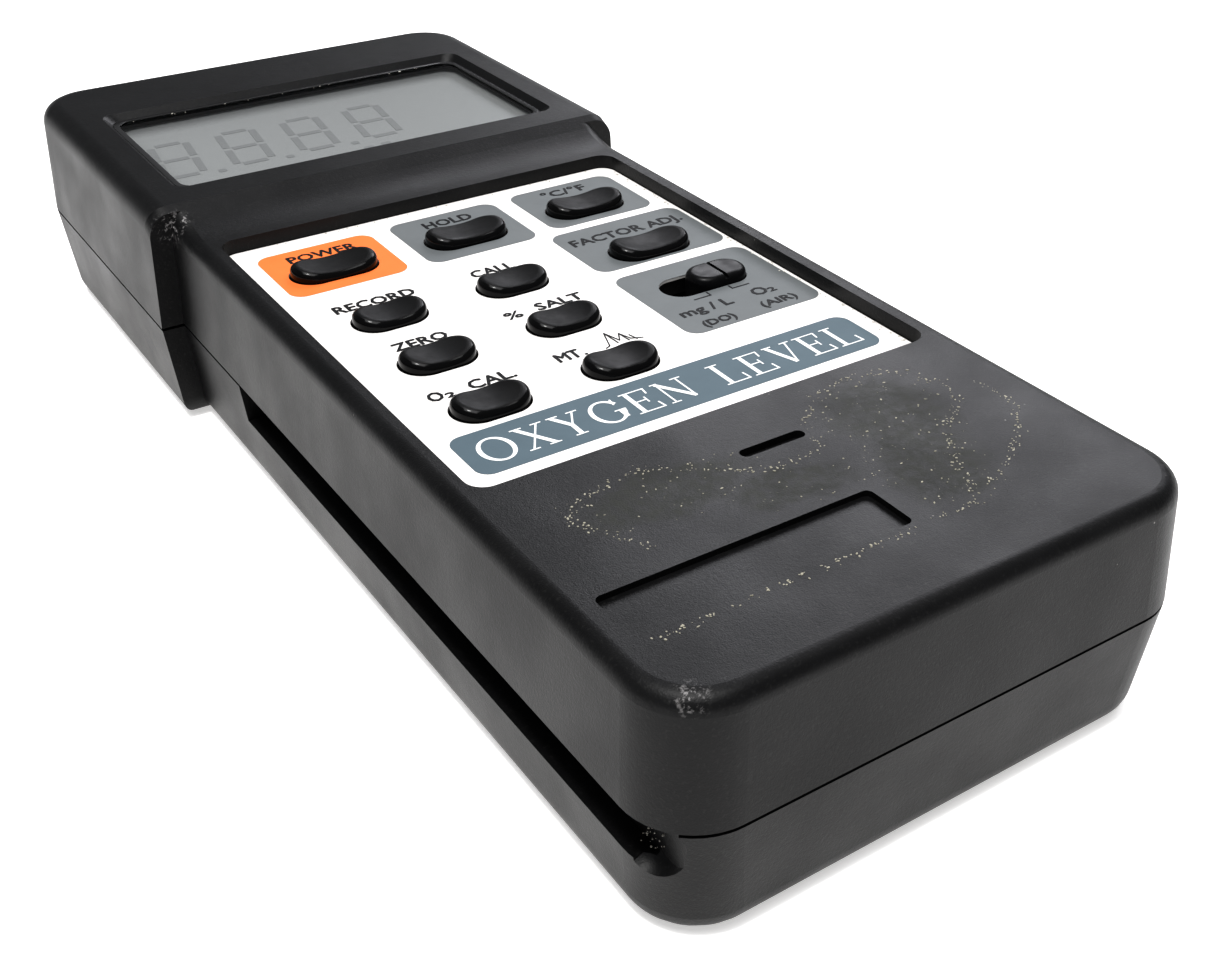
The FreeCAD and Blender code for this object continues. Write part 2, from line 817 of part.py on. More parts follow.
def battery_snap():
    """The snap connector on the battery's two terminals."""
    y0 = battery_far + seat_gap
    half_x, half_z = snap_width / 2, snap_height / 2
    body = box(-half_x, half_x, y0, y0 + snap_thickness, battery_middle - half_z, battery_middle + half_z)
    radius, depth = terminal_radius + seat_gap, terminal_height + seat_gap
    sockets = [
        along_y(radius, y0, y0 + depth, s * terminal_pitch / 2, battery_middle) for s in (-1, 1)
    ]
    return body.cut(sockets)


def battery_cover():
    """The cover over the battery bay, with grip grooves, two locating ribs and a screw tab."""
    plate = cover_outline(0, 0, cover_thickness)
    outer = bay_half - cover_clearance
    y0, y1 = bay_near + cover_rib_end_gap, bay_far - cover_rib_end_gap
    ribs = []
    for side in (-1, 1):
        x0, x1 = sorted((side * outer, side * (outer - cover_rib)))
        ribs.append(box(x0, x1, y0, y1, cover_thickness, cover_thickness + cover_rib_height))
    half = cover_groove_length / 2
    first = bay_near + 2 * cover_groove_pitch
    grooves = [
        box(-half, half, first + i * cover_groove_pitch, first + i * cover_groove_pitch + cover_groove_width,
            -1, cover_groove_depth)
        for i in range(cover_grooves)
    ]
    head_hole = cylinder(cover_screw_head_radius + hole_clearance, cover_screw_head_height, 0, cover_screw_y, 0)
    shank_hole = cylinder(cover_screw_radius + hole_clearance, 2 * cover_thickness, 0, cover_screw_y, 0)
    return plate.fuse(ribs).removeSplitter().cut(grooves + [head_hole, shank_hole])


def battery_cover_screw():
    sizes = (cover_screw_radius, cover_screw_length - cover_screw_head_height)
    return screw(*sizes, cover_screw_head_radius, cover_screw_head_height, 0, cover_screw_y, 0)


# Sockets

def probe_socket_shell():
    back = socket_face - socket_length
    neck = socket_face - socket_flange_thickness
    barrel = along_y(socket_barrel_radius, back, neck, socket_x, socket_z)
    flange = along_y(socket_flange_radius, neck, socket_face, socket_x, socket_z)
    flange = rounded(flange, socket_flange_thickness / 2, lambda e: runs_across_end(e, socket_face))
    bore = along_y(socket_bore_radius, back + socket_back_wall, front, socket_x, socket_z)
    rear = along_y(socket_insert_radius + socket_insert_clearance, back - 1, front, socket_x, socket_z)
    return barrel.fuse(flange).removeSplitter().cut([bore, rear])


def probe_socket_insert():
    """The insulator in the middle of the probe socket, with its five contact holes."""
    back = socket_face - socket_length - socket_insert_tail
    tip = socket_face - socket_flange_thickness / 2
    body = along_y(socket_insert_radius, back, tip, socket_x, socket_z)
    cuts = []
    for i in range(socket_pins):
        angle = math.radians(90 + (i - (socket_pins - 1) / 2) * socket_pin_step)
        x = socket_x + socket_pin_circle * math.cos(angle)
        z = socket_z - socket_pin_circle * math.sin(angle)
        cuts.append(along_y(socket_pin_radius, tip - socket_pin_depth, tip + 1, x, z))
    return body.cut(cuts)


def probe_socket_nut():
    y1 = end_wall_inner - seat_gap
    y0 = y1 - socket_nut_thickness
    ring = along_y(socket_nut_radius, y0, y1, socket_x, socket_z)
    return ring.cut(along_y(socket_barrel_radius + thread_clearance, y0 - 1, y1 + 1, socket_x, socket_z))


def data_jack():
    """The round jack for a data lead, soldered to the board's edge."""
    half = jack_body_width / 2
    y1 = end_wall_inner - seat_gap
    body = box(jack_x - half, jack_x + half, y1 - jack_body_length, y1, jack_z - half, jack_z + half)
    barrel = along_y(jack_barrel_radius, y1, jack_face, jack_x, jack_z)
    bore = along_y(jack_bore_radius, jack_face - jack_bore_length, front, jack_x, jack_z)
    return body.fuse(barrel).removeSplitter().cut(bore)


NODES = {
    "front_cover": front_cover,
    "back_cover": back_cover,
    "label_panel": label_panel,
    "display_window": display_window,
    "display_glass": display_glass,
    "display_frame": display_frame,
    "display_contacts": display_contacts,
    "main_board": main_board,
    "processor_chip": lambda: chip(*processor),
    "board_components": board_components,
    "key_mat": key_mat,
    "mode_switch_body": mode_switch_body,
    "mode_switch_knob": mode_switch_knob,
    "case_screws": case_screws,
    "board_screws": board_screws,
    "battery": battery,
    "battery_snap": battery_snap,
    "battery_cover": battery_cover,
    "battery_cover_screw": battery_cover_screw,
    "probe_socket_shell": probe_socket_shell,
    "probe_socket_insert": probe_socket_insert,
    "probe_socket_nut": probe_socket_nut,
    "data_jack": data_jack,
}

os.makedirs("parts", exist_ok=True)
for name, make in NODES.items():
    make().exportStep(f"parts/{name}.step")
for name, place in KEYS.items():
    key(*place).exportStep(f"parts/{name}.step")
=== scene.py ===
import math
import random

import bmesh
import bpy
from mathutils import Matrix, Vector


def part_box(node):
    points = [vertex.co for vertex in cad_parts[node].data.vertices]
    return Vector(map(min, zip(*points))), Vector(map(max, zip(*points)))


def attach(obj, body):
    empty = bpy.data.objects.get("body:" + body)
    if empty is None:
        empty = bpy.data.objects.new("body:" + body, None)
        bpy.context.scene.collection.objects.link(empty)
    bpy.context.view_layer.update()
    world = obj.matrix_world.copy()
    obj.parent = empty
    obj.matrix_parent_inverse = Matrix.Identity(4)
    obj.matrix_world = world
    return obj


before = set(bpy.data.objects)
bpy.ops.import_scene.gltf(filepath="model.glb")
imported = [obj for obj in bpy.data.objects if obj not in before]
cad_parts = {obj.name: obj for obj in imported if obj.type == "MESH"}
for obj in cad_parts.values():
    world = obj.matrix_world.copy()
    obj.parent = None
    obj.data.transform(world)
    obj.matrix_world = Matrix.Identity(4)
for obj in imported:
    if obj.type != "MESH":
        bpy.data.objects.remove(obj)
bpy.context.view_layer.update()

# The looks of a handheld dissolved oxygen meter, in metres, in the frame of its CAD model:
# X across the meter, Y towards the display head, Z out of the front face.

MM = 0.001

# Places on the meter. FACE is the front face round the recess that holds the label.
RECESS_DEPTH = 2.0 * MM
LABEL_LOW, LABEL_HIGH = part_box("label_panel")
LABEL_TOP = LABEL_HIGH.z
FACE = LABEL_TOP + RECESS_DEPTH
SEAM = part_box("front_cover")[0].z
WINDOW_LOW, WINDOW_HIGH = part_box("display_window")
GLASS_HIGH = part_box("display_glass")[1]

# Prints lie in two layers on the label: the patches, and the letters over them.
PRINT_THICKNESS = 0.03 * MM
PRINT_GAP = 0.01 * MM
PATCH_Z = LABEL_TOP + PRINT_GAP
LETTER_Z = PATCH_Z + (PRINT_THICKNESS + PRINT_GAP)

# Each printed bar is a hair higher than the one before, over this many steps, so that none coincide.
HAIR = 0.0004 * MM
HAIR_STEPS = 24

KEY_NODES = [
    "power_key", "hold_key", "units_key", "factor_key", "record_key",
    "recall_key", "zero_key", "salt_key", "calibrate_key", "altitude_key",
]


# Building blocks

def piece_from(bm, name, material, smooth_angle=40.0):
    """Makes a finished piece from a bmesh, in place, riding on the housing."""
    bmesh.ops.recalc_face_normals(bm, faces=bm.faces)
    mesh = bpy.data.meshes.new(name)
    bm.to_mesh(mesh)
    bm.free()
    piece = bpy.data.objects.new(name, mesh)
    bpy.context.scene.collection.objects.link(piece)
    mesh.materials.append(material)
    mesh.shade_smooth()
    mesh.set_sharp_from_angle(angle=math.radians(smooth_angle))
    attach(piece, "housing")
    return piece


def add_block(bm, x0, x1, y0, y1, z0, z1, radius=0.0, segments=6):
    """Adds an upright block with round corners to a bmesh."""
    size = Vector((x1 - x0, y1 - y0, z1 - z0))
    centre = Vector((x0 + x1, y0 + y1, z0 + z1)) / 2
    place = Matrix.Translation(centre) @ Matrix.Diagonal(size).to_4x4()
    made = bmesh.ops.create_cube(bm, size=1.0, matrix=place)
    if radius:
        corners = set()
        for vert in made["verts"]:
            for edge in vert.link_edges:
                a, b = edge.verts
                if abs(a.co.z - b.co.z) > size.z / 2:
                    corners.add(edge)
        bmesh.ops.bevel(
            bm, geom=list(corners), offset=radius, segments=segments,
            affect="EDGES", profile=0.5, material=-1,
        )


def add_stroke(bm, start, end, width, z0, z1):
    """Adds a flat bar from one point to another."""
    bars_before = len(bm.verts) // 8
    z1 += HAIR * (bars_before % HAIR_STEPS)
    start, end = Vector(start), Vector(end)
    along = end - start
    centre = (start + end) / 2
    turn = Matrix.Rotation(math.atan2(along.y, along.x), 4, "Z")
    size = Matrix.Diagonal(Vector((along.length, width, z1 - z0))).to_4x4()
    place = Matrix.Translation(Vector((centre.x, centre.y, (z0 + z1) / 2)))
    bmesh.ops.create_cube(bm, size=1.0, matrix=place @ turn @ size)


def add_rod(bm, radius, start, end, segments=32):
    """Adds a closed round rod between two points."""
    start, end = Vector(start), Vector(end)
    along = end - start
    turn = along.to_track_quat("Z", "Y").to_matrix().to_4x4()
    bmesh.ops.create_cone(
        bm, cap_ends=True, segments=segments, radius1=radius, radius2=radius, depth=along.length,
        matrix=Matrix.Translation((start + end) / 2) @ turn,
    )


def baked(piece):
    """Turns a piece's live modifiers into its mesh."""
    evaluated = piece.evaluated_get(bpy.context.evaluated_depsgraph_get())
    mesh = bpy.data.meshes.new_from_object(evaluated)
    piece.modifiers.clear()
    old = piece.data
    piece.data = mesh
    bpy.data.meshes.remove(old)


def cut_away(piece, bm):
    """Cuts the solid in a bmesh out of a piece."""
    mesh = bpy.data.meshes.new("cutter")
    bm.to_mesh(mesh)
    bm.free()
    cutter = bpy.data.objects.new("cutter", mesh)
    bpy.context.scene.collection.objects.link(cutter)
    boolean = piece.modifiers.new("openings", "BOOLEAN")
    boolean.operation = "DIFFERENCE"
    boolean.solver = "EXACT"
    boolean.object = cutter
    baked(piece)
    bpy.data.objects.remove(cutter)


# Material helpers

class Recipe:
    """A node material under construction, with short ways to add and join its nodes."""

    def __init__(self, name, colour=(0.5, 0.5, 0.5), roughness=0.5, **settings):
        self.material = bpy.data.materials.new(name)
        self.material.use_nodes = True
        self.tree = self.material.node_tree
        self.shader = self.tree.nodes["Principled BSDF"]
        self.shader.inputs["Base Color"].default_value = (*colour, 1.0)
        self.shader.inputs["Roughness"].default_value = roughness
        for socket, value in settings.items():
            self.shader.inputs[socket.replace("_", " ")].default_value = value
        self.place = self.tree.nodes.new("ShaderNodeTexCoord").outputs["Object"]

    def node(self, kind, inputs=(), **settings):
        made = self.tree.nodes.new(kind)
        for key, value in settings.items():
            setattr(made, key, value)
        for socket, value in dict(inputs).items():
            if hasattr(value, "is_output"):
                self.tree.links.new(value, made.inputs[socket])
            else:
                made.inputs[socket].default_value = value
        return made

    def maths(self, operation, a, b=0.0, clamp=False):
        made = self.node("ShaderNodeMath", {0: a, 1: b}, operation=operation)
        made.use_clamp = clamp
        return made.outputs[0]

    def noise(self, scale, detail=3.0, roughness=0.5, place=None):
        inputs = {"Vector": place or self.place, "Scale": scale, "Detail": detail, "Roughness": roughness}
        return self.node("ShaderNodeTexNoise", inputs).outputs["Fac"]

    def cells(self, scale, randomness=1.0, feature="F1"):
        inputs = {"Vector": self.place, "Scale": scale, "Randomness": randomness}
        return self.node("ShaderNodeTexVoronoi", inputs, feature=feature)

    def steps(self, value, low, high, start=0.0, end=1.0):
        """A smooth change from start to end while the value goes from low to high."""
        inputs = {"Value": value, "From Min": low, "From Max": high, "To Min": start, "To Max": end}
        return self.node("ShaderNodeMapRange", inputs, interpolation_type="SMOOTHSTEP").outputs[0]

    def mixed(self, share, a, b):
        """A colour between a and b, where each is a colour or another socket."""
        made = self.node("ShaderNodeMix", data_type="RGBA")
        for index, value in ((6, a), (7, b)):
            if hasattr(value, "is_output"):
                self.tree.links.new(value, made.inputs[index])
            else:
                made.inputs[index].default_value = (*value, 1.0)
        self.tree.links.new(share, made.inputs[0])
        return made.outputs[2]

    def axes(self):
        return self.node("ShaderNodeSeparateXYZ", {0: self.place}).outputs

    def link(self, output, socket):
        self.tree.links.new(output, self.shader.inputs[socket])

    def bump(self, height, strength, distance):
        inputs = {"Height": height, "Strength": strength, "Distance": distance}
        self.link(self.node("ShaderNodeBump", inputs).outputs["Normal"], "Normal")


# Materials: the case

def ellipse_share(recipe, place, x, y, half_x, half_y, angle=0.0):
    """1 in the middle of an ellipse on the front face, falling to 0 at its edge and below outside it."""
    mapping = recipe.node(
        "ShaderNodeMapping",
        {
            "Vector": place, "Location": (x * MM, y * MM, 0.0), "Rotation": (0.0, 0.0, math.radians(angle)),
            "Scale": (half_x * MM, half_y * MM, 1.0),
        },
        vector_type="TEXTURE",
    ).outputs[0]
    flatten = {0: mapping, 1: (1.0, 1.0, 0.0)}
    flat = recipe.node("ShaderNodeVectorMath", flatten, operation="MULTIPLY").outputs[0]
    length = recipe.node("ShaderNodeVectorMath", {0: flat}, operation="LENGTH").outputs["Value"]
    return recipe.maths("SUBTRACT", 1.0, length)


# Old adhesive on the lower front face: middle x and y, half width and depth in millimetres, turn in degrees.
ADHESIVE_PATCHES = (
    (-15.0, -60.6, 11.5, 5.0, 2.0),
    (-3.0, -66.5, 9.0, 3.6, -8.0),
    (14.5, -60.5, 8.5, 8.0, 0.0),
    (12.0, -70.5, 7.0, 9.5, -12.0),
    (-4.0, -74.6, 7.0, 1.6, 2.0),
)

# The ragged edges that the adhesive dried along, as points on the face in millimetres.
ADHESIVE_EDGES = (
    ((-25.5, -59.0), (-22.0, -56.6), (-14.5, -55.4), (-9.5, -58.5), (-4.0, -62.6), (3.5, -62.8)),
    ((3.5, -62.8), (5.5, -57.5), (10.5, -53.0), (16.5, -52.2), (21.5, -54.0), (24.2, -59.5), (22.5, -63.5)),
    ((22.5, -63.5), (18.0, -66.5), (14.8, -70.5), (12.5, -75.0), (10.5, -79.3), (4.5, -79.0)),
    ((27.5, -61.0), (27.8, -67.5), (22.5, -72.5), (14.0, -77.5)),
    ((-29.0, -79.3), (-18.0, -79.2), (-7.0, -79.3), (3.0, -79.2)),
    ((-25.5, -59.0), (-23.5, -63.0), (-21.0, -68.0)),
)


def adhesive_depth(recipe):
    """Above 0 where the front face carries adhesive: patches with ragged, warped edges."""
    warp_reach = 6.5 * MM
    warp = recipe.node("ShaderNodeTexNoise", {"Vector": recipe.place, "Scale": 260.0, "Detail": 4.0})
    shifted = recipe.node(
        "ShaderNodeVectorMath", {0: warp.outputs["Color"], 1: (0.5, 0.5, 0.5)}, operation="SUBTRACT",
    ).outputs[0]
    scaled = recipe.node(
        "ShaderNodeVectorMath", {0: shifted, "Scale": warp_reach}, operation="SCALE",
    ).outputs[0]
    place = recipe.node("ShaderNodeVectorMath", {0: recipe.place, 1: scaled}, operation="ADD").outputs[0]
    depth = None
    for patch in ADHESIVE_PATCHES:
        share = ellipse_share(recipe, place, *patch)
        depth = share if depth is None else recipe.maths("MAXIMUM", depth, share)
    return depth


def spark_texture(recipe):
    """The fine moulded grain of the case, as a height."""
    fine = recipe.noise(5200.0, 2.0, 0.6)
    coarse = recipe.noise(1900.0, 2.0, 0.5)
    return recipe.maths("ADD", fine, recipe.maths("MULTIPLY", coarse, 0.7))


def moulded_case(name, adhesive_and_highlights=False):
    """Black grained plastic with specks of lint, and on the front cover old adhesive and painted highlights
    on its corners.
    """
    recipe = Recipe(name, (0.005, 0.005, 0.005), 0.4, IOR=1.30)
    tone = recipe.noise(55.0, 4.0, 0.6)
    speckle = recipe.noise(2600.0, 1.0, 0.5)
    colour = recipe.mixed(recipe.steps(tone, 0.3, 0.7), (0.0032, 0.0032, 0.0035), (0.0060, 0.0060, 0.0064))
    colour = recipe.mixed(recipe.steps(speckle, 0.55, 0.8), colour, (0.011, 0.011, 0.011))
    rough = recipe.steps(recipe.noise(90.0, 3.0, 0.5), 0.25, 0.75, 0.37, 0.47)
    dust = recipe.cells(420.0)
    lint = recipe.steps(dust.outputs["Distance"], 0.035, 0.055, 1.0, 0.0)
    rare = recipe.steps(recipe.noise(60.0, 2.0), 0.6, 0.66)
    colour = recipe.mixed(recipe.maths("MULTIPLY", lint, rare), colour, (0.20, 0.19, 0.18))
    height = spark_texture(recipe)
    if adhesive_and_highlights:
        colour, rough, height = adhesive_over(recipe, colour, rough, height)
        # The front cover's corners get painted highlights.
        colour = corner_highlights_over(recipe, colour)
    recipe.link(colour, "Base Color")
    recipe.link(rough, "Roughness")
    recipe.bump(height, 0.42, 0.06 * MM)
    return recipe.material


def adhesive_over(recipe, colour, rough, height):
    """Adds the film of old adhesive with its pale crumbs to the front face."""
    up = recipe.steps(recipe.axes()[2], FACE - 0.5 * MM, FACE - 0.3 * MM)
    depth = adhesive_depth(recipe)
    film = recipe.maths("MULTIPLY", recipe.steps(depth, -0.05, 0.45), up)
    broken = recipe.steps(recipe.noise(900.0, 4.0, 0.7), 0.36, 0.62)
    film = recipe.maths("MULTIPLY", film, recipe.maths("ADD", recipe.maths("MULTIPLY", broken, 0.7), 0.3))
    stain = recipe.mixed(recipe.noise(350.0, 3.0), (0.008, 0.009, 0.007), (0.024, 0.025, 0.019))
    colour = recipe.mixed(film, colour, stain)
    outer, inner = recipe.steps(depth, -0.06, 0.04), recipe.steps(depth, 0.10, 0.45, 1.0, 0.12)
    rim = recipe.maths("MULTIPLY", outer, inner)
    crumb = recipe.steps(recipe.cells(1500.0).outputs["Distance"], 0.10, 0.20, 1.0, 0.0)
    picked = recipe.steps(recipe.noise(420.0, 3.0, 0.7), 0.52, 0.64)
    crumbs = recipe.maths("MULTIPLY", crumb, picked)
    crumbs = recipe.maths("MULTIPLY", crumbs, recipe.maths("MULTIPLY", rim, up))
    colour = recipe.mixed(crumbs, colour, (0.50, 0.47, 0.38))
    rough = recipe.maths("ADD", rough, recipe.maths("MULTIPLY", film, 0.12), clamp=True)
    height = recipe.maths("ADD", height, recipe.maths("MULTIPLY", crumbs, 2.5))
    return colour, rough, height


# Painted highlights on the corners, where the small ceiling lamp glints: place and reach, in millimetres.
CORNER_HIGHLIGHTS = ((-33.8, 30.7, 29.8, 3.2), (-32.6, 30.4, 30.4, 2.2), (-29.9, -86.9, 29.2, 2.2))


def corner_highlights_over(recipe, colour):
    """Adds painted highlights, pale and grainy, on the corners where the small ceiling lamp glints."""
    grain = recipe.steps(recipe.noise(1500.0, 3.0, 0.7), 0.52, 0.68)
    for x, y, z, reach in CORNER_HIGHLIGHTS:
        away = recipe.node(
            "ShaderNodeVectorMath", {0: recipe.place, 1: (x * MM, y * MM, z * MM)}, operation="DISTANCE",
        ).outputs["Value"]
        near = recipe.steps(away, 0.2 * reach * MM, reach * MM, 1.0, 0.0)
        glint = recipe.maths("MULTIPLY", recipe.maths("MULTIPLY", near, grain), 0.8)
        # Pale painted highlight colour, grainy like the case.
        colour = recipe.mixed(glint, colour, (0.30, 0.29, 0.29))
    return colour


# Materials: label and prints

def label_film():
    recipe = Recipe("label_film", (0.82, 0.81, 0.79), 0.38)
    tone = recipe.noise(120.0, 3.0)
    grime = recipe.steps(recipe.noise(420.0, 4.0, 0.7), 0.62, 0.8)
    colour = recipe.mixed(tone, (0.84, 0.815, 0.79), (0.89, 0.875, 0.855))
    colour = recipe.mixed(recipe.maths("MULTIPLY", grime, 0.10), colour, (0.60, 0.55, 0.50))
    recipe.link(colour, "Base Color")
    recipe.bump(recipe.noise(2200.0, 2.0), 0.06, 0.03 * MM)
    return recipe.material


def printed_ink(name, colour, roughness=0.5):
    """A screen printed ink: slightly uneven, with small worn spots."""
    recipe = Recipe(name, colour, roughness, IOR=1.2)
    darker = tuple(0.88 * c for c in colour)
    lighter = tuple(min(1.0, 1.08 * c + 0.004) for c in colour)
    tone = recipe.mixed(recipe.noise(240.0, 4.0, 0.6), darker, lighter)
    worn = recipe.steps(recipe.noise(900.0, 3.0, 0.7), 0.72, 0.82, 0.0, 0.15)
    recipe.link(recipe.mixed(worn, tone, tuple(0.5 * c + 0.25 for c in colour)), "Base Color")
    recipe.bump(recipe.noise(2600.0, 2.0), 0.08, 0.03 * MM)
    return recipe.material


# Materials: display

def display_cell():
    """The reflective grey cell, with painted shade darkening it towards its edges, most along the far edge
    under the bezel.
    """
    recipe = Recipe("display_cell", (0.30, 0.31, 0.315), 0.30)
    x, y, _ = recipe.axes()
    side, far = GLASS_HIGH.x, GLASS_HIGH.y
    # Painted shade: the cell darkens towards its sides, and most along its far edge, where the bezel
    # overhangs it.
    side_shade = recipe.steps(recipe.maths("ABSOLUTE", x), side - 5 * MM, side)
    far_shade = recipe.steps(y, far - 6 * MM, far - 1 * MM)
    edge = recipe.maths("MAXIMUM", recipe.maths("MULTIPLY", side_shade, 0.4), far_shade)
    tone = recipe.mixed(recipe.noise(700.0, 2.0, 0.6), (0.315, 0.313, 0.313), (0.335, 0.333, 0.333))
    # The near-black painted shade is mixed into the cell's tone here.
    tone = recipe.mixed(recipe.maths("MULTIPLY", edge, 0.6), tone, (0.10, 0.10, 0.103))
    recipe.link(tone, "Base Color")
    recipe.bump(recipe.noise(3000.0, 1.0), 0.05, 0.02 * MM)
    return recipe.material


def ghost_segment():
    recipe = Recipe("ghost_segment", (0.21, 0.215, 0.22), 0.35)
    tone = recipe.mixed(recipe.noise(800.0, 2.0), (0.225, 0.223, 0.225), (0.25, 0.248, 0.25))
    recipe.link(tone, "Base Color")
    return recipe.material


def clear_window():
    """Clear acrylic: see-through, with a mirror gloss that grows towards grazing angles."""
    recipe = Recipe("clear_window")
    nodes, links = recipe.tree.nodes, recipe.tree.links
    nodes.remove(recipe.shader)
    smear = recipe.steps(recipe.noise(140.0, 4.0, 0.6), 0.4, 0.7, 0.02, 0.07)
    ripple = recipe.node(
        "ShaderNodeBump", {"Height": recipe.noise(35.0, 2.0), "Strength": 0.04, "Distance": 0.1 * MM},
    ).outputs["Normal"]
    gloss = recipe.node("ShaderNodeBsdfGlossy", {"Roughness": smear, "Normal": ripple})
    clear = recipe.node("ShaderNodeBsdfTransparent", {"Color": (0.95, 0.96, 0.96, 1.0)})
    facing = recipe.node("ShaderNodeLayerWeight", {"Blend": 0.5}).outputs["Facing"]
    share = recipe.maths("ADD", 0.03, recipe.maths("MULTIPLY", 0.5, recipe.maths("POWER", facing, 5.0)))
    mix = recipe.node("ShaderNodeMixShader", {0: share, 1: clear.outputs[0], 2: gloss.outputs[0]})
    links.new(mix.outputs[0], nodes["Material Output"].inputs["Surface"])
    return recipe.material


# Materials: keys and hardware

def key_gloss():
    """Black polished plastic keys, smeared dull on top by fingers."""
    recipe = Recipe("key_gloss", (0.003, 0.003, 0.0032), 0.2, IOR=1.27)
    slope = recipe.node("ShaderNodeSeparateXYZ", {0: recipe.node("ShaderNodeNewGeometry").outputs["Normal"]})
    top = recipe.steps(slope.outputs[2], 0.82, 0.96)
    smear = recipe.steps(recipe.noise(330.0, 4.0, 0.65), 0.3, 0.75, 0.42, 0.58)
    polished = 0.15
    dulled = recipe.maths("MULTIPLY", top, recipe.maths("SUBTRACT", smear, polished))
    recipe.link(recipe.maths("ADD", polished, dulled), "Roughness")
    recipe.bump(recipe.noise(2400.0, 2.0), 0.07, 0.03 * MM)
    return recipe.material


def knob_black():
    recipe = Recipe("knob_black", (0.004, 0.004, 0.0044), 0.33, IOR=1.22)
    recipe.link(recipe.steps(recipe.noise(500.0, 3.0), 0.3, 0.7, 0.27, 0.42), "Roughness")
    recipe.bump(recipe.noise(3000.0, 2.0), 0.12, 0.03 * MM)
    return recipe.material


def plain_black(name, roughness=0.5):
    recipe = Recipe(name, (0.012, 0.012, 0.012), roughness)
    tone = recipe.mixed(recipe.noise(300.0, 3.0), (0.009, 0.009, 0.009), (0.017, 0.017, 0.018))
    recipe.link(tone, "Base Color")
    recipe.bump(recipe.noise(1800.0, 2.0), 0.12, 0.04 * MM)
    return recipe.material


def metal(name, colour, roughness):
    """Bright metal with fine turned marks and dull spots."""
    recipe = Recipe(name, colour, roughness, Metallic=1.0)
    squeeze = {"Vector": recipe.place, "Scale": (1.0, 1.0, 9.0)}
    stretched = recipe.node("ShaderNodeMapping", squeeze).outputs[0]
    marks = recipe.noise(1600.0, 3.0, 0.6, place=stretched)
    recipe.link(recipe.steps(marks, 0.3, 0.7, roughness - 0.08, roughness + 0.10), "Roughness")
    dull = recipe.steps(recipe.noise(260.0, 4.0, 0.6), 0.5, 0.75)
    recipe.link(recipe.mixed(dull, colour, tuple(0.75 * c for c in colour)), "Base Color")
    recipe.bump(marks, 0.10, 0.03 * MM)
    return recipe.material


def battery_can():
    """A painted can: dark body with a copper coloured band at the terminals' end."""
    recipe = Recipe("battery_can", (0.03, 0.03, 0.035), 0.3)
    _, y, _ = recipe.axes()
    band_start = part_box("battery")[1].y - 15.4 * MM
    band = recipe.steps(y, band_start, band_start + 0.2 * MM)
    colour = recipe.mixed(band, (0.025, 0.025, 0.028), (0.45, 0.22, 0.09))
    recipe.link(recipe.mixed(recipe.noise(200.0, 3.0), colour, (0.06, 0.05, 0.045)), "Base Color")
    recipe.bump(recipe.noise(150.0, 2.0), 0.10, 0.2 * MM)
    return recipe.material


def board_laminate():
    """Green resist over copper tracks."""
    recipe = Recipe("board_laminate", (0.02, 0.12, 0.045), 0.32)
    tracks = recipe.cells(420.0, 0.6, feature="DISTANCE_TO_EDGE")
    line = recipe.steps(tracks.outputs["Distance"], 0.06, 0.10, 1.0, 0.0)
    recipe.link(recipe.mixed(line, (0.012, 0.085, 0.03), (0.04, 0.19, 0.07)), "Base Color")
    recipe.bump(line, 0.15, 0.05 * MM)
    return recipe.material


def soft_rubber(name, colour):
    recipe = Recipe(name, colour, 0.7)
    recipe.link(recipe.mixed(recipe.noise(300.0, 3.0), colour, tuple(0.7 * c for c in colour)), "Base Color")
    recipe.bump(recipe.noise(1500.0, 2.0), 0.15, 0.05 * MM)
    return recipe.material


def dust_fleck():
    recipe = Recipe("dust_fleck", (0.62, 0.60, 0.55), 0.9)
    recipe.link(recipe.mixed(recipe.noise(900.0, 2.0), (0.70, 0.68, 0.62), (0.36, 0.33, 0.28)), "Base Color")
    return recipe.material


def crumb_fleck():
    recipe = Recipe("crumb_fleck", (0.42, 0.40, 0.31), 0.8)
    recipe.link(recipe.mixed(recipe.noise(1200.0, 2.0), (0.55, 0.52, 0.42), (0.16, 0.15, 0.11)), "Base Color")
    return recipe.material


def tabletop():
    """The pale table."""
    recipe = Recipe("tabletop", (0.88, 0.875, 0.87), 0.75)
    tone = recipe.mixed(recipe.noise(9.0, 3.0), (0.86, 0.855, 0.85), (0.90, 0.895, 0.89))
    recipe.link(tone, "Base Color")
    recipe.shader.inputs["Emission Color"].default_value = (1.0, 0.99, 0.98, 1.0)
    recipe.shader.inputs["Emission Strength"].default_value = 0.45
    return recipe.material


# Finishes of the CAD parts

